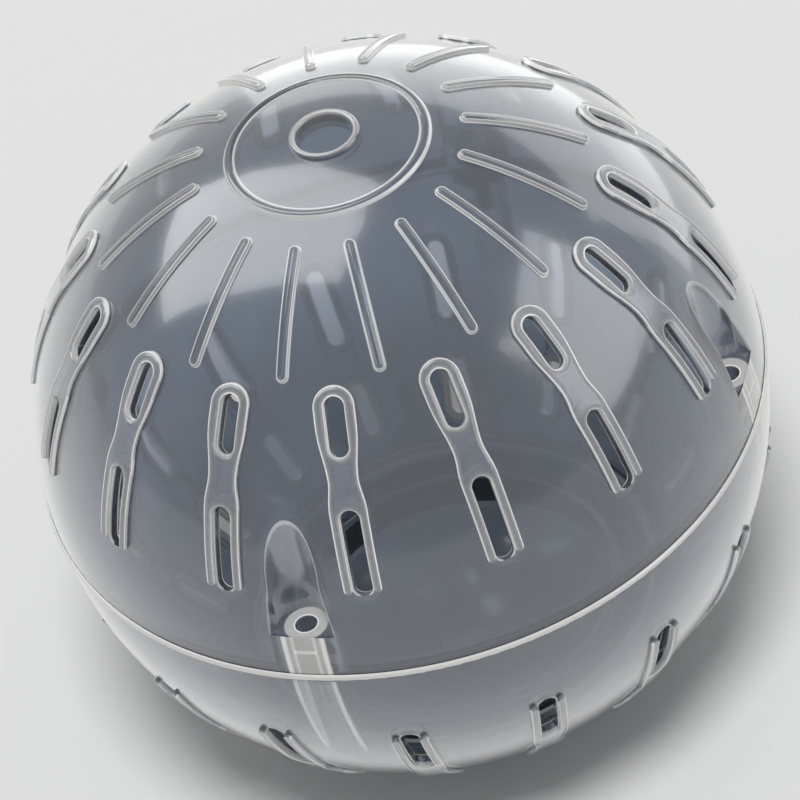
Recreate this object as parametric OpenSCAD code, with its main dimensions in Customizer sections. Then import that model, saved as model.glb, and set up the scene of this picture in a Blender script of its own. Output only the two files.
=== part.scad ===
// Exercise ball for a hamster: two clear moulded half shells joined by four small screws
// in pockets round the seam, with a round push-in door in the lower pole.
// The origin is the centre of the ball and +Z runs through the ribbed pole.

/* [Ball] */
// Outer diameter of the ball
ball_d = 120; // [112:1:160]
// Thickness of the moulded walls
wall = 1.6; // [1.2:0.1:2]

/* [Seam] */
// Height of the bead along the upper shell's rim
bead_h = 1.2; // [0.8:0.1:1.8]
// How far the bead stands out of the ball
bead_proud = 0.4; // [0.2:0.1:0.5]
// Height of the lower shell's lip inside the upper shell
lip_h = 2; // [1:0.1:3]
// Thickness of that lip
lip_t = 1.1; // [0.8:0.1:1.4]
// Gap round the lip
lip_gap = 0.15; // [0.1:0.05:0.3]

/* [Pole hubs] */
// Diameter of the hole in each pole
hub_hole_d = 9; // [7:0.5:12]
// Length of the hole, measured along the axis
hub_hole_len = 2.9; // [2.5:0.1:4]
// Thickness of the collar round the hole
hub_collar_t = 1.2; // [0.9:0.1:1.6]
// How far the collar's round rim stands out
hub_rim_proud = 0.8; // [0.6:0.1:1]
// Diameter of the ring bead, measured on its middle line
hub_ring_d = 31.4; // [26:0.2:36]
// Width of the ring bead
hub_ring_w = 2; // [1.4:0.1:2.6]
// How far the ring bead stands out
hub_ring_proud = 0.5; // [0.3:0.1:0.7]

/* [Ribs and vents] */
// Number of ribs, and of vents between them
vent_n = 16; // [12, 16]
// Width of a rib
rib_w = 1.7; // [1.5:0.1:2.4]
// How far a rib stands out
rib_proud = 0.6; // [0.4:0.1:0.8]
// Angle from the pole where a rib starts
rib_from = 20.7; // [20:0.1:24]
// Angle from the pole where a rib ends
rib_to = 41.2; // [36:0.1:41.6]
// Width of a slot
slot_w = 3; // [2.5:0.1:3.2]
// Angle from the pole where the upper slot starts
high_slot_from = 43.6; // [43.4:0.1:45]
// Angle from the pole where the upper slot ends
high_slot_to = 52.6; // [51.6:0.1:53]
// Angle from the pole where the neck between the slots is narrowest
neck_at = 55.8; // [55:0.1:56.8]
// Angle from the pole where the lower slot starts
low_slot_from = 60.5; // [60:0.1:62]
// Angle from the pole where the lower slot ends
low_slot_to = 74.3; // [72.5:0.1:75.5]
// Angle from the pole where the two rails beside the lower slot end
rail_to = 73.7; // [71:0.1:74.5]
// Width of the relief round the upper slot
relief_head_w = 6.5; // [6:0.1:7]
// Width of the relief at its neck
relief_neck_w = 4.8; // [4:0.1:5.4]
// Width of the relief round the lower slot
relief_fork_w = 6; // [5.6:0.1:6.6]
// How far the relief stands out
relief_proud = 0.7; // [0.4:0.1:0.9]
// Width of the ledge left between a slot and the relief
relief_ledge = 0.15; // [0.1:0.05:0.2]

/* [Screw pockets] */
// Number of screw pockets round the seam
pocket_n = 4; // [2, 4]
// Width of a pocket at its round inner end
pocket_w = 8.4; // [8:0.1:9]
// Width of a pocket's mouth on the ball's surface
mouth_w = 11.6; // [10:0.1:12]
// Depth of a pocket, measured in from the ball's surface
pocket_deep = 7.1; // [6.8:0.1:7.6]
// Thickness of a pocket's side
pocket_wall = 1; // [0.8:0.1:1.4]
// Height of a pocket's floor over the seam
floor_h = 9; // [8:0.1:10]
// Outer diameter of the lower shell's screw bosses
boss_d = 7; // [6.4:0.1:7.2]
// Distance of the screw from the ball's surface
boss_inset = 3.6; // [3.5:0.1:3.8]

/* [Screws] */
// Diameter of the screw's head
head_d = 3.3; // [2.8:0.1:3.6]
// Height of the screw's head
head_h = 1.7; // [1.2:0.1:2]
// Core diameter of the screw's shank
shank_d = 1.7; // [1.4:0.1:2]
// How far the shank reaches into the lower shell's boss
screw_grip = 6.8; // [4:0.1:7]
// Depth of the wide bore that the head sits in
head_bore_deep = 4.8; // [3:0.1:5]
// Radial gap between the head and its bore
head_gap = 0.15; // [0.1:0.05:0.25]
// Radial gap between the shank and its hole
shank_gap = 0.1; // [0.05:0.05:0.2]

/* [Door] */
// Diameter of the opening in the lower pole
opening_d = 56; // [52:0.5:58]
// Diameter of the recess that the door's rim sits in
recess_d = 69; // [66:0.5:70]
// Gap between the door and the shell
door_gap = 0.3; // [0.2:0.05:0.5]
// Length of the shell's collar round the opening, inside the ball
collar_len = 3; // [2:0.1:4]
// Thickness of the door's skirt
skirt_t = 1.4; // [1:0.1:1.8]
// How far the skirt reaches past the collar
skirt_past = 1.2; // [0.8:0.1:2]

/* [Hidden] */
$fn = 96;

// One overrun serves every cut that has to reach past a face
over = 2;
ball_r = ball_d / 2;
inner_r = ball_r - wall;

// Length on the ball's surface of an angle at its centre
function as_length(angle) = ball_r * angle * PI / 180;

// Height over the centre of a ball surface, at a distance from the axis
function dome_z(r, at) = sqrt(pow(r, 2) - pow(at, 2));

hub_r = hub_hole_d / 2;
ring_r = hub_ring_d / 2;
ring_z = dome_z(ball_r, ring_r);
hub_collar_r = hub_r + hub_collar_t;
hub_top = dome_z(ball_r, hub_collar_r) + hub_rim_proud;
hub_edge = hub_collar_t / 2;

bead_edge_share = 0.25;
bead_edge = bead_h * bead_edge_share;
lip_r = dome_z(inner_r, lip_h) - lip_gap;

high_slot_mid = (high_slot_from + high_slot_to) / 2;
low_slot_mid = (low_slot_from + low_slot_to) / 2;
// The relief of a vent is drawn as one outline, square to the wall at its middle
relief_mid = (high_slot_from + rail_to) / 2;
// Each side of its neck is drawn with this number of short edges above and below
neck_steps = 4;

pocket_r = pocket_w / 2;
pocket_x = ball_r - pocket_deep + pocket_r;
// From its round end a pocket widens to the mouth by this much for each unit of length
pocket_flare = (mouth_w / 2 - pocket_r) / (ball_r - pocket_x);
boss_x = ball_r - boss_inset;
head_bore_r = head_d / 2 + head_gap;
shank_hole_r = shank_d / 2 + shank_gap;
seat_z = floor_h - head_bore_deep;
pilot_spare = 0.6;
tip_share = 0.9;
shank_tip = shank_d * tip_share;
cross_w_share = 0.18;
cross_len_share = 0.62;
cross_deep_share = 0.45;
cross_w = head_d * cross_w_share;
cross_len = head_d * cross_len_share;
cross_deep = head_h * cross_deep_share;

opening_r = opening_d / 2;
recess_r = recess_d / 2;
// The ledge under the door's rim is a ball shaped ring, set in by the door's thickness
ledge_r = inner_r - door_gap;
ledge_in_r = ledge_r - wall;
collar_top = dome_z(ledge_in_r, opening_r);
collar_end = collar_top - collar_len;
skirt_r = opening_r - door_gap;
skirt_top = dome_z(inner_r, skirt_r);
skirt_end = collar_end - skirt_past;
// A part of the wall's thickness that a joining piece is sunk into, so that both fuse
weld_share = 0.6;
weld = wall * weld_share;
// The snap bead stands out by a share of the gap, and clears the collar by the rest
snap_share = 0.6;
snap_proud = door_gap * snap_share;
snap_d_share = 0.7;
snap_d = skirt_past * snap_d_share;

module around(count, start = 0) {
    for (i = [0 : count - 1]) rotate([0, 0, start + i * 360 / count]) children();
}

// Straight prism through the wall, square to it at a polar angle on the first meridian.
// In its outline x runs across the meridian and y runs along it, away from the pole.
module through_wall(angle) {
    deep = 8 * wall;
    rotate([0, angle, 0]) translate([0, 0, ball_r - deep])
        linear_extrude(height = deep + 2 * wall) rotate([0, 0, -90]) children();
}

// Outer layer of the wall with a raised height, which gives the reliefs their round tops
module raised(proud) {
    intersection() {
        children();
        difference() {
            sphere(r = ball_r + proud);
            sphere(r = ball_r - wall / 2);
        }
    }
}

// Outline with round ends: length is measured between the centres of its ends
module long_round(width, length) {
    square([width, length], center = true);
    for (s = [-1, 1]) translate([0, s * length / 2]) circle(d = width);
}

module rib_outline() {
    long_round(rib_w, as_length(rib_to - rib_from) - rib_w);
}

module slot_outline(from, to) {
    long_round(slot_w, as_length(to - from) - slot_w);
}

// Place of a polar angle on the relief's own outline
function on_relief(angle) = ball_r * sin(angle - relief_mid);

// Share of a change in width that is done after a share of the way, for a smooth side
function eased(t) = t * t * (3 - 2 * t);

// Points of a side that goes smoothly from one width and place to another
function neck_side(w1, y1, w2, y2) = [
    for (k = [0 : neck_steps]) let (t = k / neck_steps)
        [(w1 + (w2 - w1) * eased(t)) / 2, y1 + (y2 - y1) * t]
];

// One side of the relief, from the middle of the upper slot to the start of the lower one
function relief_side() = concat(
    neck_side(relief_head_w, on_relief(high_slot_mid), relief_neck_w, on_relief(neck_at)),
    neck_side(relief_neck_w, on_relief(neck_at), relief_fork_w, on_relief(low_slot_from))
);

function mirrored(side) = [for (k = [len(side) - 1 : -1 : 0]) [-side[k][0], side[k][1]]];

// Relief of a vent: round over the upper slot, narrow at its neck and open below the lower
// slot, where its two rails end in round tips
module relief_outline() {
    head_y = on_relief(high_slot_from) + slot_w / 2;
    low_y = on_relief(low_slot_from) + slot_w / 2;
    rail_w = (relief_fork_w - slot_w) / 2 - relief_ledge;
    tip_y = on_relief(rail_to) - rail_w / 2;
    high_len = on_relief(high_slot_to) - on_relief(high_slot_from) - slot_w;
    difference() {
        union() {
            translate([0, head_y]) circle(d = relief_head_w);
            translate([-relief_head_w / 2, head_y])
                square([relief_head_w, on_relief(high_slot_mid) - head_y]);
            polygon(concat(relief_side(), mirrored(relief_side())));
            translate([-relief_fork_w / 2, on_relief(low_slot_from)])
                square([relief_fork_w, tip_y - on_relief(low_slot_from)]);
        }
        translate([0, head_y + high_len / 2]) long_round(slot_w + 2 * relief_ledge, high_len);
        translate([0, low_y]) circle(d = slot_w + 2 * relief_ledge);
        translate([-slot_w / 2 - relief_ledge, low_y])
            square([slot_w + 2 * relief_ledge, tip_y - low_y + over]);
    }
    for (s = [-1, 1]) translate([s * (relief_fork_w - rail_w) / 2, tip_y]) circle(d = rail_w);
}

module vents() {
    around(vent_n, 180 / vent_n) children();
}

module vent_reliefs() {
    raised(relief_proud) vents() through_wall(relief_mid) relief_outline();
}

module vent_slots() {
    vents() {
        through_wall(high_slot_mid) slot_outline(high_slot_from, high_slot_to);
        through_wall(low_slot_mid) slot_outline(low_slot_from, low_slot_to);
    }
}

// Outline of a pocket seen along the axis: round inside and wider towards its mouth
module pocket_outline(margin = 0) {
    side = pocket_r + margin;
    far = ball_r - pocket_x + over;
    translate([pocket_x, 0]) {
        circle(r = side);
        polygon([
            [0, -side], [far, -side - far * pocket_flare], [far, side + far * pocket_flare], [0, side]
        ]);
    }
}

// Keeps what stands inside the ball within half of the wall's thickness
module inside_wall() {
    intersection() {
        children();
        sphere(r = ball_r - wall / 2);
    }
}

// Section of a ball shaped wall between two distances from the axis
module wall_section(outer_r, from, to) {
    intersection() {
        difference() {
            circle(r = outer_r);
            circle(r = outer_r - wall);
        }
        translate([from, 0]) square([to - from, ball_r]);
    }
}

// Section through a pole: the ring bead and the collared hole
module hub_section() {
    wall_section(ball_r, hub_r + hub_edge, ring_r);
    translate([ring_r, ring_z + hub_ring_proud - hub_ring_w / 2]) circle(d = hub_ring_w);
    translate([hub_r, hub_top - hub_hole_len]) square([hub_collar_t, hub_hole_len - hub_edge]);
    translate([hub_r + hub_edge, hub_top - hub_edge]) circle(r = hub_edge);
}

module bead_section() {
    side = ball_r + bead_proud;
    translate([inner_r + wall / 2, 0]) square([side - bead_edge - inner_r - wall / 2, bead_h]);
    translate([inner_r + wall / 2, bead_edge])
        square([side - inner_r - wall / 2, bead_h - 2 * bead_edge]);
    for (z = [bead_edge, bead_h - bead_edge]) translate([side - bead_edge, z]) circle(r = bead_edge);
}

// Lip that stands past the seam, and the foot that joins it to the wall
module lip_section() {
    translate([lip_r - lip_t, -lip_h]) square([lip_t, lip_h + lip_t]);
    translate([lip_r - lip_t, 0]) square([inner_r + wall / 2 - lip_r + lip_t, lip_t]);
}

// Recessed seat of the door: the recess's side, the ledge, and the collar of the opening
module seat_section() {
    wall_section(ledge_r, opening_r, recess_r + wall);
    intersection() {
        translate([recess_r, dome_z(ledge_in_r, recess_r + wall)]) square([wall, wall * 4]);
        circle(r = ball_r);
    }
    translate([opening_r, collar_end]) square([wall, collar_len + weld]);
}

module door_section() {
    wall_section(ball_r, ring_r, recess_r - door_gap);
    hub_section();
    translate([skirt_r - skirt_t, skirt_end]) square([skirt_t, skirt_top - skirt_end + weld]);
    translate([skirt_r + snap_proud - snap_d / 2, skirt_end + skirt_past / 2]) circle(d = snap_d);
}

// Half shell that stands on the seam with its pole up. The first child is its wall with
// all that stands in it, and the second is cut from it at every screw.
module half_shell() {
    difference() {
        union() {
            children(0);
            vent_reliefs();
        }
        vent_slots();
        around(pocket_n) children(1);
    }
}

module clear_plastic() {
    color([0.80, 0.83, 0.86, 0.45]) children();
}

module upper_shell() {
    clear_plastic() half_shell() {
        union() {
            rotate_extrude() {
                wall_section(ball_r, ring_r, ball_r);
                hub_section();
                bead_section();
            }
            raised(rib_proud) around(vent_n) through_wall((rib_from + rib_to) / 2) rib_outline();
            inside_wall() around(pocket_n) linear_extrude(height = ball_r) pocket_outline(pocket_wall);
        }
        union() {
            translate([0, 0, floor_h]) linear_extrude(height = ball_r) pocket_outline();
            translate([boss_x, 0, seat_z]) cylinder(r = head_bore_r, h = head_bore_deep + over);
            translate([boss_x, 0, -over]) cylinder(r = shank_hole_r, h = seat_z + 2 * over);
        }
    }
}

module lower_shell() {
    clear_plastic() mirror([0, 0, 1]) difference() {
        half_shell() {
            union() {
                rotate_extrude() {
                    wall_section(ball_r, recess_r, ball_r);
                    seat_section();
                    lip_section();
                }
                inside_wall() around(pocket_n) translate([boss_x, 0, 0]) cylinder(d = boss_d, h = ball_r);
            }
            translate([boss_x, 0, -over]) cylinder(r = shank_hole_r, h = screw_grip + pilot_spare + over);
        }
        around(pocket_n) translate([0, 0, -lip_h - over])
            linear_extrude(height = lip_h + over) pocket_outline(pocket_wall + lip_gap);
    }
}

module door() {
    clear_plastic() mirror([0, 0, 1]) rotate_extrude() door_section();
}

module screw() {
    difference() {
        translate([0, 0, seat_z]) cylinder(d = head_d, h = head_h);
        translate([0, 0, seat_z + head_h]) for (turn = [0, 90]) rotate([0, 0, turn])
            cube([cross_len, cross_w, 2 * cross_deep], center = true);
    }
    translate([0, 0, shank_tip - screw_grip]) cylinder(d = shank_d, h = seat_z + screw_grip - shank_tip);
    translate([0, 0, -screw_grip]) cylinder(d1 = shank_gap, d2 = shank_d, h = shank_tip);
}

module shell_screws() {
    color([0.72, 0.72, 0.70]) around(pocket_n) translate([boss_x, 0, 0]) screw();
}

upper_shell();
lower_shell();
door();
shell_screws();
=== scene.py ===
"""Hamster ball: the moulded clear shells, their door and screws, and a plain pale studio."""

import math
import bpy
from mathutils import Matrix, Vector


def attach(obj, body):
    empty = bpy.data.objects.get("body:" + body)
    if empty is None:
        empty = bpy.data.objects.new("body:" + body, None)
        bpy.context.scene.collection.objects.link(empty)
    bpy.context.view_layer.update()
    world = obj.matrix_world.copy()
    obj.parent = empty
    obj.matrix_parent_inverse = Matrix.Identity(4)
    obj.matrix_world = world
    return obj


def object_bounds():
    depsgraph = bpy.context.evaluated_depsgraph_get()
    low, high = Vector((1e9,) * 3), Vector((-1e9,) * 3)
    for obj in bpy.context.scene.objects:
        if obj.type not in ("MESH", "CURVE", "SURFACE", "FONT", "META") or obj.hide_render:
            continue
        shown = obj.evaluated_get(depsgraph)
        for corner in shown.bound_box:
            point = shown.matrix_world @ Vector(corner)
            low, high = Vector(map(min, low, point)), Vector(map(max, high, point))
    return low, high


bl_info = {
    "name": "Hamster Ball",
    "version": (1, 0, 0),
    "blender": (4, 5, 0),
    "location": "3D View > Sidebar > Hamster Ball",
    "description": "Finishes the clear ball's mouldings and screws, and sets up its studio",
    "category": "Object",
}

import bpy
from mathutils import Matrix, Vector

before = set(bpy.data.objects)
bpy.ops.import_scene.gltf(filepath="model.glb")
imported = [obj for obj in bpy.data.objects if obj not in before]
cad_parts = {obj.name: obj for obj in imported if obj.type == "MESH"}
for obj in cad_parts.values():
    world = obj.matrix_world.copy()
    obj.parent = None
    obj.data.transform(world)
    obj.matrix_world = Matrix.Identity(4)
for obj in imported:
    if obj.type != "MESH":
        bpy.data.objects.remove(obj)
CAD_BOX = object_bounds()

MM = 0.001
DEGREE = math.radians(1)

# Sizes and places of the mouldings, as in the part's source. Angles start at the nearer pole.
BALL_R, WALL = 60 * MM, 1.6 * MM
VENT_COUNT = 16
RIB_MID, RIB_HALF, RIB_R = 30.95 * DEGREE, 9.88 * MM, 0.85 * MM
SLOT_R = 1.5 * MM
HIGH_SLOT_MID, HIGH_SLOT_HALF = 48.1 * DEGREE, 3.21 * MM
LOW_SLOT_MID, LOW_SLOT_HALF = 67.4 * DEGREE, 5.73 * MM
RELIEF_MID = 58.65 * DEGREE
RELIEF_HEAD_AT, RELIEF_WIDE_TO, RELIEF_NECK_AT, RELIEF_FORK_AT = -14.1 * MM, -11 * MM, -2.98 * MM, 1.94 * MM
RELIEF_HEAD, RELIEF_NECK, RELIEF_FORK = 3.25 * MM, 2.4 * MM, 3 * MM
RING_R, RING_HALF = 15.7 * MM, 0.8 * MM
HOLE_RIM_R, HOLE_RIM_HALF = 5.1 * MM, 0.6 * MM
POCKET_AT, POCKET_R, POCKET_FLARE, POCKET_WALL = 57.1 * MM, 4.2 * MM, 0.55, 1 * MM
FLOOR_H = 9 * MM
SCREW_AT, BORE_R, COLUMN_R = 56.4 * MM, 1.8 * MM, 3.5 * MM
SCREW_HEAD_AT = 5.9 * MM
BEAD_H = 1.2 * MM
DOOR_OPENING_R, DOOR_RECESS_R = 28 * MM, 34.5 * MM

# Heights over the seam at which a finish starts or ends.
VENT_END_H, DOOR_BELOW = 16.3 * MM, -38 * MM
COLUMN_TOP, COLUMN_FADES_FROM, COLUMN_FADES_TO = -0.5 * MM, -18 * MM, -26 * MM

# Depths that tell one surface of the wall from the next.
SKIN_DEPTH, LINING_DEPTH = 0.3 * MM, 0.2 * MM
RAISED_FROM, RAISED_AT, BEAD_OVER = 0.15 * MM, 0.35 * MM, 0.1 * MM
HAIR = 0.1 * MM

# Widths of soft lines inside and behind the mouldings, most of them painted highlight lines and painted
# gleams.
BOSS_SIDE_W, BORE_SIDE_W, HEAD_W, TOP_FADE = 0.7 * MM, 0.4 * MM, 0.5 * MM, 0.2 * MM
SLOT_GLINT_W, DOOR_GLINT_W = 2.2 * MM, 1.2 * MM
SHOULDER_W, SLOT_SHOULDER = 0.8 * MM, 0.15 * MM

# Shares of each place that scatter light. The shoulder, side, bore, head, glint and edge shares are painted
# highlights, made of the milky shader.
VENT_MILK, SHOULDER_HIGHLIGHT, GRIT_MILK = 0.02, 0.16, 0.14
BEAD_MILK, SPECK_MILK, POCKET_MILK, HOLE_MILK = 0.6, 0.1, 0.1, 0.18
BOSS_MILK, BOSS_SIDE_HIGHLIGHT, BORE_SIDE_HIGHLIGHT, HEAD_HIGHLIGHT, BOSS_TOP_MILK = 0.3, 0.35, 0.2, 0.25, 0.4
COLUMN_MILK, COLUMN_SIDE_HIGHLIGHT = 0.16, 0.3
PAINTED_GLINT, CLOUD_MILK = 0.9, 0.04
FAINT_EDGE, RIM_EDGE = 0.6, 0.5
POLISH = (0.96, 0.95, 0.94)

# Camera fitted to the photograph, in millimetres of lens and pixels of its 800 by 800 picture.
LENS, SENSOR = 231.2, 36.0
PICTURE_SIDE, SHIFT_RIGHT, SHIFT_UP = 800, -2.3, 4.7
FLOOR_HALF = 3.0
TOP_LIGHT_FROM, TOP_LIGHT_SPREAD = (0.17, -0.34, 0.92), 17 * DEGREE


class Socket:
    """A value in a node tree. Arithmetic on it adds Math nodes."""

    def __init__(self, tree, out):
        self.tree = tree
        self.out = out

    def math(self, operation, *others, clamp=False):
        return self.tree.value("ShaderNodeMath", {"operation": operation, "use_clamp": clamp}, self, *others)

    def __add__(self, other):
        return self.math("ADD", other)

    def __sub__(self, other):
        return self.math("SUBTRACT", other)

    def __mul__(self, other):
        return self.math("MULTIPLY", other)

    def __rsub__(self, other):
        return self.tree.value("ShaderNodeMath", {"operation": "SUBTRACT"}, other, self)

    __radd__ = __add__
    __rmul__ = __mul__

    def clamped(self):
        return self.math("ADD", 0.0, clamp=True)

    def ramp(self, low, high):
        """0 below low and 1 above high, with a soft step between them."""
        soft = {"interpolation_type": "SMOOTHSTEP"}
        return self.tree.value("ShaderNodeMapRange", soft, self, low, high, 0.0, 1.0)

    def size(self):
        return self.math("ABSOLUTE")

    def over(self, limit):
        return self.math("GREATER_THAN", limit)

    def under(self, limit):
        return self.math("LESS_THAN", limit)

    def least(self, other):
        return self.math("MINIMUM", other)

    def most(self, other):
        return self.math("MAXIMUM", other)

    def line(self, width):
        """1 where this distance is about 0, and 0 from the given width on."""
        return 1 - self.size().ramp(width * 0.35, width)


def hypot(a, b):
    return (a * a + b * b).math("SQRT")


class Tree:
    """A material's or the world's node tree, filled from expressions."""

    def __init__(self, owner):
        owner.use_nodes = True
        self.nodes = owner.node_tree.nodes
        self.links = owner.node_tree.links
        self.nodes.clear()

    def node(self, kind, settings=None, inputs=()):
        """New node. Its inputs are a list in their order or a dict by name."""
        node = self.nodes.new(kind)
        for key, value in (settings or {}).items():
            setattr(node, key, value)
        pairs = inputs.items() if isinstance(inputs, dict) else enumerate(inputs)
        for key, value in pairs:
            if isinstance(value, Socket):
                self.links.new(value.out, node.inputs[key])
            else:
                node.inputs[key].default_value = value
        return node

    def value(self, kind, settings=None, *inputs, out=0):
        """One output of a new node, to reckon with."""
        keyed = inputs[0] if len(inputs) == 1 and isinstance(inputs[0], dict) else inputs
        return Socket(self, self.node(kind, settings, keyed).outputs[out])

    def blend(self, share, first, second):
        """Colour between first and second."""
        settings = {"data_type": "RGBA"}
        return self.value("ShaderNodeMix", settings, {0: share, 6: first, 7: second}, out=2)

    def place(self):
        """Place on the object, in metres."""
        return self.value("ShaderNodeTexCoord", None, out=3)

    def surface(self, inputs):
        return self.node("ShaderNodeBsdfPrincipled", None, inputs)

    def shade(self, share, first, second):
        """Mix of two shader nodes."""
        shaders = [Socket(self, node.outputs[0]) for node in (first, second)]
        return self.node("ShaderNodeMixShader", None, [share, *shaders])

    def show(self, shader, output="ShaderNodeOutputMaterial"):
        self.node(output, None, {"Surface": Socket(self, shader.outputs[0])})


def colour(value):
    return (*value[:3], 1.0)


def new_material(name):
    material = bpy.data.materials.new(name)
    return material, Tree(material)


def assign(node, material):
    """Puts one material on every slot of a CAD node."""
    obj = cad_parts[node]
    if not obj.material_slots:
        obj.data.materials.append(material)
    for slot in obj.material_slots:
        slot.material = material


def add_object(name, data):
    obj = bpy.data.objects.new(name, data)
    bpy.context.scene.collection.objects.link(obj)
    return obj


class Mouldings:
    """Distances in metres from a point of the ball to the outlines of its mouldings."""

    def __init__(self, tree, place):
        split = tree.node("ShaderNodeSeparateXYZ", None, [place])
        x, y, self.z = (Socket(tree, out) for out in split.outputs)
        self.high = self.z.size()
        self.radius = tree.value("ShaderNodeVectorMath", {"operation": "LENGTH"}, place, out=1)
        self.axis = hypot(x, y)
        self.turn = y.math("ARCTAN2", x)
        self.outward, self.aside = x.size().most(y.size()), x.size().least(y.size())
        self.slot, self.relief = self.slot_and_relief()
        self.rib = self.rib_outline()
        self.pocket = self.pocket_outline()
        self.from_screw = hypot(self.outward - SCREW_AT, self.aside)
        self.skin = self.radius.over(BALL_R - SKIN_DEPTH)
        self.raised = self.radius.ramp(BALL_R + RAISED_FROM, BALL_R + RAISED_AT)
        self.by_vents = self.high.over(VENT_END_H)

    def beside(self, at):
        """Distances across and along the nearest of the meridians that start at an angle."""
        step = math.tau / VENT_COUNT
        away = (self.turn - at).math("WRAP", step / 2, -step / 2)
        return self.axis * away.math("SINE"), self.axis * away.math("COSINE")

    def from_angle(self, out, angle):
        """Distance from a polar angle, away from the pole, for points on one meridian."""
        return out * math.cos(angle) - self.high * math.sin(angle)

    def long_round(self, across, along, half, radius):
        """Outline of a slot with round ends."""
        return hypot(across, (along.size() - half).most(0.0)) - radius

    def rib_outline(self):
        across, out = self.beside(0.0)
        return self.long_round(across, self.from_angle(out, RIB_MID), RIB_HALF, RIB_R)

    def slot_and_relief(self):
        """A vent's two slots, and the raised outline round them with its head, neck and fork."""
        across, out = self.beside(math.pi / VENT_COUNT)
        high_slot = self.long_round(across, self.from_angle(out, HIGH_SLOT_MID), HIGH_SLOT_HALF, SLOT_R)
        low_slot = self.long_round(across, self.from_angle(out, LOW_SLOT_MID), LOW_SLOT_HALF, SLOT_R)
        along = self.from_angle(out, RELIEF_MID)
        narrowed = along.ramp(RELIEF_WIDE_TO, RELIEF_NECK_AT) * (RELIEF_HEAD - RELIEF_NECK)
        widened = along.ramp(RELIEF_NECK_AT, RELIEF_FORK_AT) * (RELIEF_FORK - RELIEF_NECK)
        past_head = (RELIEF_HEAD_AT - along).most(0.0)
        return high_slot.least(low_slot), hypot(across, past_head) + narrowed - widened - RELIEF_HEAD

    def pocket_outline(self):
        off = self.outward - POCKET_AT
        return hypot(off.least(0.0), self.aside) - off.most(0.0) * POCKET_FLARE - POCKET_R

    def near_screw(self):
        """1 in the upright slab, as wide as a column, that holds a boss and its column."""
        beyond = self.aside.ramp(COLUMN_R * 0.95, COLUMN_R * 1.1)
        return self.outward.over(SCREW_AT - COLUMN_R) * (1 - beyond)

    def column_side(self):
        return (self.aside - COLUMN_R * 0.93).line(BOSS_SIDE_W)


def painted_edge_highlights(form, width):
    """Painted highlight lines along the edges of vents, ribs, ring, pockets, pole hole and screw bores."""
    vents = (form.relief.line(width) * form.raised + form.slot.line(width * 1.3)) * form.by_vents
    ribs = form.rib.line(width) * form.z.over(0.0)
    ring = ((form.axis - RING_R).size() - RING_HALF).line(width)
    mouth = form.pocket.line(width * FAINT_EDGE) * form.z.over(FLOOR_H) * FAINT_EDGE
    rim = (form.axis - HOLE_RIM_R).line(HOLE_RIM_HALF) * RIM_EDGE
    bore = (form.from_screw - BORE_R).line(width) * (form.z - FLOOR_H).line(width)
    return (vents + ribs + ring + mouth + rim) * form.skin + bore


def boss_milk_and_highlights(form):
    """Milk of the solid bosses, seen through the skin, with painted highlight lines along their sides, bore
    and screw head.
    """
    boss_skin = form.skin * form.z.over(BEAD_H) * form.z.under(FLOOR_H - HAIR)
    # Painted highlights: bright lines along the column sides, the bore's sides and at the screw head's
    # height.
    bore_side = (form.aside - BORE_R).line(BORE_SIDE_W)
    head = (form.z - SCREW_HEAD_AT).line(HEAD_W) * form.aside.under(BORE_R)
    milk_with_highlights = BOSS_MILK + form.column_side() * BOSS_SIDE_HIGHLIGHT + bore_side * BORE_SIDE_HIGHLIGHT + head * HEAD_HIGHLIGHT
    on_top = (form.z - FLOOR_H).size().under(HAIR)
    within = 1 - (form.from_screw - COLUMN_R).ramp(-TOP_FADE, TOP_FADE)
    return form.near_screw() * boss_skin * milk_with_highlights + on_top * within * BOSS_TOP_MILK


def column_milk_and_highlights(form):
    """Milk of the columns below the seam, with painted highlight lines along their sides, which fades out
    where they run into the wall.
    """
    upright = form.z.under(COLUMN_TOP) * form.z.ramp(COLUMN_FADES_TO, COLUMN_FADES_FROM)
    # The column sides get a painted highlight line.
    return form.near_screw() * upright * (COLUMN_MILK + form.column_side() * COLUMN_SIDE_HIGHLIGHT)


def painted_lining_glints(form):
    """Painted gleams on the wall's inside, round the slots and along the door's opening and recess."""
    opening = (form.axis - DOOR_OPENING_R).line(DOOR_GLINT_W)
    recess = (form.axis - DOOR_RECESS_R).line(DOOR_GLINT_W)
    arcs = (opening + recess) * form.z.under(DOOR_BELOW)
    lining = form.radius.under(BALL_R - WALL + LINING_DEPTH)
    return (form.slot.line(SLOT_GLINT_W) + arcs).clamped() * lining


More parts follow.
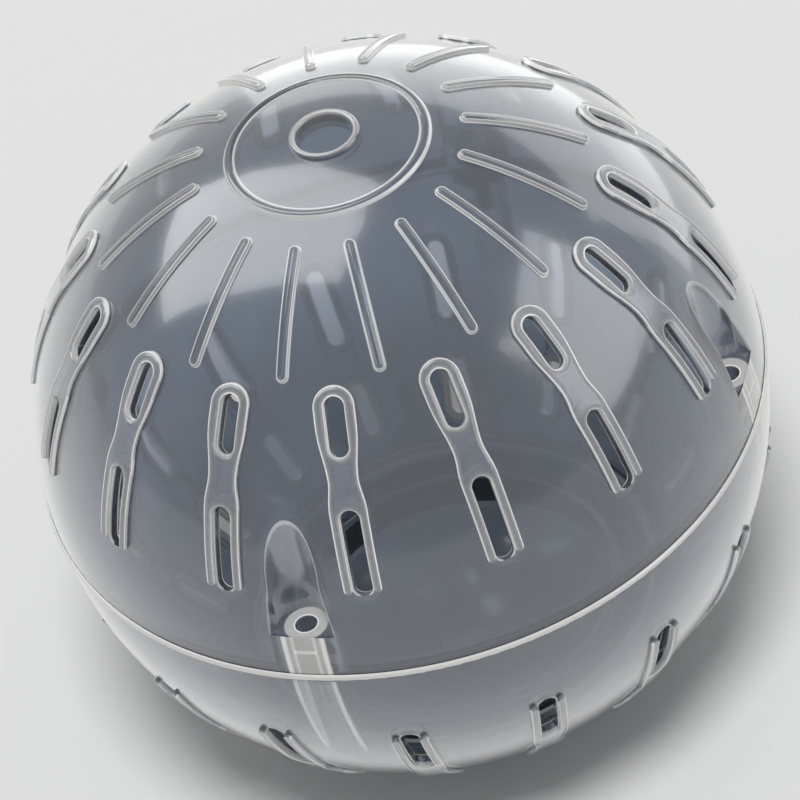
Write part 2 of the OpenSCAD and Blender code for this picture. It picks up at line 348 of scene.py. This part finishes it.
def clear_plastic(look):
    """Clear moulded plastic: polished skin, frosted relief tops, milky bosses, painted highlights along the
    edges and painted gleams on the inside.
    """
    name = "moulded_clear_plastic"
    if name in bpy.data.materials:
        return bpy.data.materials[name]
    material, tree = new_material(name)
    place = tree.place()
    form = Mouldings(tree, place)
    cloud = tree.value("ShaderNodeTexNoise", None, {"Vector": place, "Scale": 42.0, "Detail": 1.0})
    grit = tree.value("ShaderNodeTexNoise", None, {"Vector": place, "Scale": 2600.0, "Detail": 2.0})
    speck_at = tree.value("ShaderNodeTexVoronoi", None, {"Vector": place, "Scale": 260.0})
    speck = 1 - speck_at.ramp(0.02, 0.05)

    on_vent = form.raised * form.relief.under(0.0) * form.by_vents
    shoulder = (form.relief * -1.0).least(form.slot - SLOT_SHOULDER).ramp(0.0, SHOULDER_W) * on_vent
    crown = (form.rib * -1.0).ramp(0.0, RIB_R) * form.raised
    bead = form.radius.over(BALL_R + BEAD_OVER) * (form.z - BEAD_H * 0.5).size().under(BEAD_H)
    in_pocket = form.pocket.under(POCKET_WALL * 0.9) * form.z.over(BEAD_H) * (1 - form.skin * 0.8)
    in_column = column_milk_and_highlights(form)
    in_hole = form.axis.under(HOLE_RIM_R)
    # Painted gleams on the lining.
    painted_glints = painted_lining_glints(form)

    # Frosted vent tops, made brighter towards their edges by a painted highlight, with grit, and the frosted
    # seam bead.
    frosted = on_vent * (VENT_MILK + (1 - shoulder) * SHOULDER_HIGHLIGHT + grit * GRIT_MILK) + bead * BEAD_MILK
    # Painted highlight lines along the moulded edges.
    lines = painted_edge_highlights(form, look.edge_width) * (0.45 + cloud * 0.75) * look.edge_highlight
    faint = speck * SPECK_MILK + in_pocket * POCKET_MILK + in_hole * HOLE_MILK
    marks = frosted + lines + faint + boss_milk_and_highlights(form) + in_column
    # Share of the milky shader, which carries the painted highlights and painted gleams too.
    milk_and_highlights = marks + look.milkiness + (cloud - 0.5) * CLOUD_MILK + painted_glints * PAINTED_GLINT
    milk_colour = tree.blend((marks * 6.0).clamped(), colour(look.skin_haze), colour(look.haze))
    # The painted gleams take the warm glint colour.
    milk_colour = tree.blend(painted_glints, milk_colour, colour(look.glint))
    paler = (in_pocket + in_column).clamped()
    tint = tree.blend(paler, colour(look.tint), colour(look.pocket_tint))
    rough = (look.roughness + on_vent * 0.12 + paler * 0.08 + speck * 0.2).clamped()
    height = shoulder * 0.3 + crown * 0.4 + cloud * 0.25 + grit * on_vent * 0.015
    bumps = tree.value("ShaderNodeBump", None, {"Strength": 1.0, "Distance": 1.0 * MM, "Height": height})

    clear = tree.surface(
        {
            "Base Color": tint,
            "Roughness": rough,
            "IOR": 1.45,
            "Transmission Weight": 1.0,
            "Coat Weight": 1.0,
            "Coat Roughness": 0.15,
            "Normal": bumps,
        }
    )
    milky = tree.surface({"Base Color": milk_colour, "Roughness": 0.4, "Normal": bumps})
    mirror = {"Base Color": colour(POLISH), "Metallic": 1.0, "Roughness": 0.16, "Normal": bumps}
    polish = tree.surface(mirror)
    grazing = tree.value("ShaderNodeFresnel", None, 1.5)
    body = tree.shade(milk_and_highlights.clamped(), clear, milky)
    tree.show(tree.shade((grazing * look.rim_gloss).clamped(), body, polish))
    return material


class BallLook(bpy.types.PropertyGroup):
    tint: bpy.props.FloatVectorProperty(
        name="Plastic tint",
        description="Colour that the clear wall gives to what is seen through it",
        subtype="COLOR",
        default=(0.29, 0.345, 0.42),
        min=0,
        max=1,
    )
    pocket_tint: bpy.props.FloatVectorProperty(
        name="Pocket tint",
        description="Colour of the screw pockets and columns, which let more light through",
        subtype="COLOR",
        default=(0.62, 0.66, 0.71),
        min=0,
        max=1,
    )
    # The haze colour is also the colour of the painted highlights along edges and sides.
    haze: bpy.props.FloatVectorProperty(
        name="Haze",
        description="Milky colour of frosted tops, edges and specks",
        subtype="COLOR",
        default=(0.93, 0.92, 0.91),
        min=0,
        max=1,
    )
    skin_haze: bpy.props.FloatVectorProperty(
        name="Skin haze",
        description="Colour that the polished wall scatters, bluer than its marks",
        subtype="COLOR",
        default=(0.42, 0.64, 1.0),
        min=0,
        max=1,
    )
    # The glint colour is that of the painted gleams on the wall's inside.
    glint: bpy.props.FloatVectorProperty(
        name="Glint",
        description="Warm colour of the light that gathers at the edges on the wall's inside",
        subtype="COLOR",
        default=(0.96, 0.87, 0.78),
        min=0,
        max=1,
    )
    milkiness: bpy.props.FloatProperty(
        name="Milkiness", description="Share of the polished wall that scatters", default=0.02, min=0, max=1
    )
    roughness: bpy.props.FloatProperty(
        name="Roughness", description="Blur of what is seen through the wall", default=0.05, min=0, max=1
    )
    # The edge width and edge brightness set the painted highlight lines along the moulded edges.
    edge_width: bpy.props.FloatProperty(
        name="Edge width",
        description="Width of the bright lines along the moulded edges",
        default=0.28 * MM,
        unit="LENGTH",
    )
    edge_highlight: bpy.props.FloatProperty(
        name="Edge brightness", description="Share of the edges that scatters", default=0.6, min=0, max=1
    )
    rim_gloss: bpy.props.FloatProperty(
        name="Rim gloss",
        description="How much more the wall's inner face adds to the gloss at grazing angles",
        default=1.6,
        min=0,
    )


class ScrewLook(bpy.types.PropertyGroup):
    zinc: bpy.props.FloatVectorProperty(
        name="Zinc", description="Colour of the plated screws", subtype="COLOR", default=(0.62, 0.62, 0.6)
    )
    dull: bpy.props.FloatVectorProperty(
        name="Dull zinc", description="Colour of dulled plating", subtype="COLOR", default=(0.42, 0.41, 0.38)
    )


class StudioLook(bpy.types.PropertyGroup):
    floor: bpy.props.FloatVectorProperty(
        name="Floor", description="Colour of the floor", subtype="COLOR", default=(0.72, 0.72, 0.72)
    )
    backdrop: bpy.props.FloatVectorProperty(
        name="Backdrop", description="Colour beyond the floor", subtype="COLOR", default=(0.57, 0.57, 0.57)
    )
    fill_light: bpy.props.FloatProperty(
        name="Fill light", description="Strength of the light from all sides", default=0.42, min=0
    )
    top_light: bpy.props.FloatProperty(
        name="Top light", description="Strength of the overhead light", default=2.2, min=0
    )
    distance: bpy.props.FloatProperty(
        name="Camera distance", description="From the ball's centre", default=840 * MM, unit="LENGTH"
    )
    azimuth: bpy.props.FloatProperty(
        name="Azimuth", description="Round from the front", default=math.radians(24.9), subtype="ANGLE"
    )
    elevation: bpy.props.FloatProperty(
        name="Elevation", description="Over the horizon", default=math.radians(43.17), subtype="ANGLE"
    )
    roll: bpy.props.FloatProperty(
        name="Roll", description="Lean of the camera", default=math.radians(16.17), subtype="ANGLE"
    )


class HAMSTER_BALL_OT_shells(bpy.types.Operator):
    """Gives both half shells their clear, slightly hazy plastic"""

    bl_idname = "hamster_ball.shells"
    bl_label = "Half shells"

    def execute(self, context):
        look = context.scene.hamster_ball
        assign("upper_shell", clear_plastic(look))
        assign("lower_shell", clear_plastic(look))
        return {"FINISHED"}


class HAMSTER_BALL_OT_door(bpy.types.Operator):
    """Gives the door in the lower pole its clear plastic"""

    bl_idname = "hamster_ball.door"
    bl_label = "Door"

    def execute(self, context):
        assign("door", clear_plastic(context.scene.hamster_ball))
        return {"FINISHED"}


class HAMSTER_BALL_OT_screws(bpy.types.Operator):
    """Gives the four screws a bright zinc plating"""

    bl_idname = "hamster_ball.screws"
    bl_label = "Screws"

    def execute(self, context):
        look = context.scene.hamster_ball_screws
        material, tree = new_material("zinc_plate")
        scuff_inputs = {"Vector": tree.place(), "Scale": 1800.0, "Detail": 3.0}
        scuff = tree.value("ShaderNodeTexNoise", None, scuff_inputs)
        dulled = tree.blend(scuff, colour(look.zinc), colour(look.dull))
        tree.show(tree.surface({"Base Color": dulled, "Metallic": 1.0, "Roughness": 0.25 + scuff * 0.2}))
        assign("shell_screws", material)
        return {"FINISHED"}


def reflection(name, towards, along, distance, size, radiance):
    """Softbox in a direction from the ball, with its first side along the given one.
    It is only seen mirrored in the polish, and lights nothing."""
    lamp = bpy.data.lights.new(name, "AREA")
    lamp.shape = "RECTANGLE"
    lamp.size, lamp.size_y = size
    lamp.energy = radiance * math.pi * size[0] * size[1]
    obj = add_object(name, lamp)
    away = Vector(towards).normalized()
    up = away.cross(Vector(along)).normalized()
    turn = Matrix((up.cross(away), up, away)).transposed()
    obj.matrix_world = Matrix.Translation(away * distance) @ turn.to_4x4()
    obj.visible_camera = False
    obj.visible_transmission = False
    obj.visible_diffuse = False


def add_reflections():
    reflection(
        "left_softbox",
        towards=(-0.504, 0.198, 0.841),
        along=(0.86, -0.07, 0.5),
        distance=1.0,
        size=(1.1, 0.68),
        radiance=2.2,
    )
    reflection(
        "right_softbox",
        towards=(0.87, 0.12, 0.42),
        along=(0, 1, 0.1),
        distance=1.0,
        size=(0.75, 0.75),
        radiance=1.6,
    )
    reflection(
        "back_panel",
        towards=(0.12, 0.97, 0.2),
        along=(1, -0.12, 0),
        distance=0.36,
        size=(0.6, 0.27),
        radiance=0.83,
    )


def add_top_light(look):
    """Wide soft light from overhead, which lights ball and floor evenly and isn't mirrored."""
    lamp = bpy.data.lights.new("top_light", "SUN")
    lamp.energy = look.top_light
    lamp.angle = TOP_LIGHT_SPREAD
    obj = add_object("top_light", lamp)
    obj.rotation_mode = "QUATERNION"
    obj.rotation_quaternion = Vector(TOP_LIGHT_FROM).to_track_quat("Z", "Y")
    obj.visible_glossy = False
    obj.visible_transmission = False


def add_camera(look):
    level = math.cos(look.elevation)
    back = Vector(
        (math.sin(look.azimuth) * level, -math.cos(look.azimuth) * level, math.sin(look.elevation))
    )
    camera = bpy.data.cameras.new("photo_camera")
    camera.lens = LENS
    camera.sensor_width = SENSOR
    camera.shift_x = SHIFT_RIGHT / PICTURE_SIDE
    camera.shift_y = SHIFT_UP / PICTURE_SIDE
    camera.clip_start = 0.05
    camera.clip_end = 20
    obj = add_object("photo_camera", camera)
    turn = (-back).to_track_quat("-Z", "Y").to_matrix() @ Matrix.Rotation(-look.roll, 3, "Z")
    obj.matrix_world = Matrix.Translation(back * look.distance) @ turn.to_4x4()
    bpy.context.scene.camera = obj


def add_floor(look):
    """Matte floor under the ball, which isn't seen from below."""
    low = CAD_BOX[0].z
    mesh = bpy.data.meshes.new("floor")
    far = FLOOR_HALF
    corners = [(-far, -far, low), (far, -far, low), (far, far, low), (-far, far, low)]
    mesh.from_pydata(corners, [], [(0, 1, 2, 3)])
    floor = add_object("floor", mesh)
    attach(floor, "door")
    material, tree = new_material("pale_floor")
    from_below = tree.value("ShaderNodeNewGeometry", None, out=6)
    paint = tree.surface({"Base Color": colour(look.floor), "Roughness": 1.0, "Specular IOR Level": 0.0})
    tree.show(tree.shade(from_below, paint, tree.node("ShaderNodeBsdfTransparent")))
    mesh.materials.append(material)


def add_world(look):
    """Even light from all sides, and the backdrop's colour where it is seen, mirrored or refracted."""
    world = bpy.data.worlds.new("studio")
    bpy.context.scene.world = world
    tree = Tree(world)
    path = tree.node("ShaderNodeLightPath")
    kinds = ("Is Camera Ray", "Is Glossy Ray", "Is Transmission Ray")
    camera, glossy, through = (Socket(tree, path.outputs[kind]) for kind in kinds)
    seen = (camera + glossy + through).clamped()
    fill = tree.node("ShaderNodeBackground", None, {"Color": (1, 1, 1, 1), "Strength": look.fill_light})
    backdrop = tree.node("ShaderNodeBackground", None, {"Color": colour(look.backdrop), "Strength": 1.0})
    tree.show(tree.shade(seen, fill, backdrop), "ShaderNodeOutputWorld")


class HAMSTER_BALL_OT_studio(bpy.types.Operator):
    """Sets up the pale floor, the soft lights, the world and the photograph's camera"""

    bl_idname = "hamster_ball.studio"
    bl_label = "Studio"

    def execute(self, context):
        look = context.scene.hamster_ball_studio
        context.scene.view_settings.view_transform = "Standard"
        add_floor(look)
        add_world(look)
        add_camera(look)
        add_top_light(look)
        add_reflections()
        return {"FINISHED"}


class HAMSTER_BALL_PT_panel(bpy.types.Panel):
    bl_label = "Hamster Ball"
    bl_idname = "HAMSTER_BALL_PT_panel"
    bl_space_type = "VIEW_3D"
    bl_region_type = "UI"
    bl_category = "Hamster Ball"

    def draw(self, context):
        layout = self.layout
        for group, operators in PANEL:
            box = layout.box()
            owner = getattr(context.scene, group)
            for key in owner.__annotations__:
                box.prop(owner, key)
            for operator in operators:
                box.operator(operator.bl_idname)


PANEL = (
    ("hamster_ball", (HAMSTER_BALL_OT_shells, HAMSTER_BALL_OT_door)),
    ("hamster_ball_screws", (HAMSTER_BALL_OT_screws,)),
    ("hamster_ball_studio", (HAMSTER_BALL_OT_studio,)),
)
GROUPS = {
    "hamster_ball": BallLook,
    "hamster_ball_screws": ScrewLook,
    "hamster_ball_studio": StudioLook,
}
CLASSES = (
    *GROUPS.values(),
    HAMSTER_BALL_OT_shells,
    HAMSTER_BALL_OT_door,
    HAMSTER_BALL_OT_screws,
    HAMSTER_BALL_OT_studio,
    HAMSTER_BALL_PT_panel,
)


def register():
    for cls in CLASSES:
        bpy.utils.register_class(cls)
    for name, group in GROUPS.items():
        setattr(bpy.types.Scene, name, bpy.props.PointerProperty(type=group))


def unregister():
    for name in GROUPS:
        delattr(bpy.types.Scene, name)
    for cls in reversed(CLASSES):
        bpy.utils.unregister_class(cls)


def main():
    register()
    bpy.ops.hamster_ball.shells()
    bpy.ops.hamster_ball.door()
    bpy.ops.hamster_ball.screws()
    bpy.ops.hamster_ball.studio()


if __name__ == "__main__":
    main()
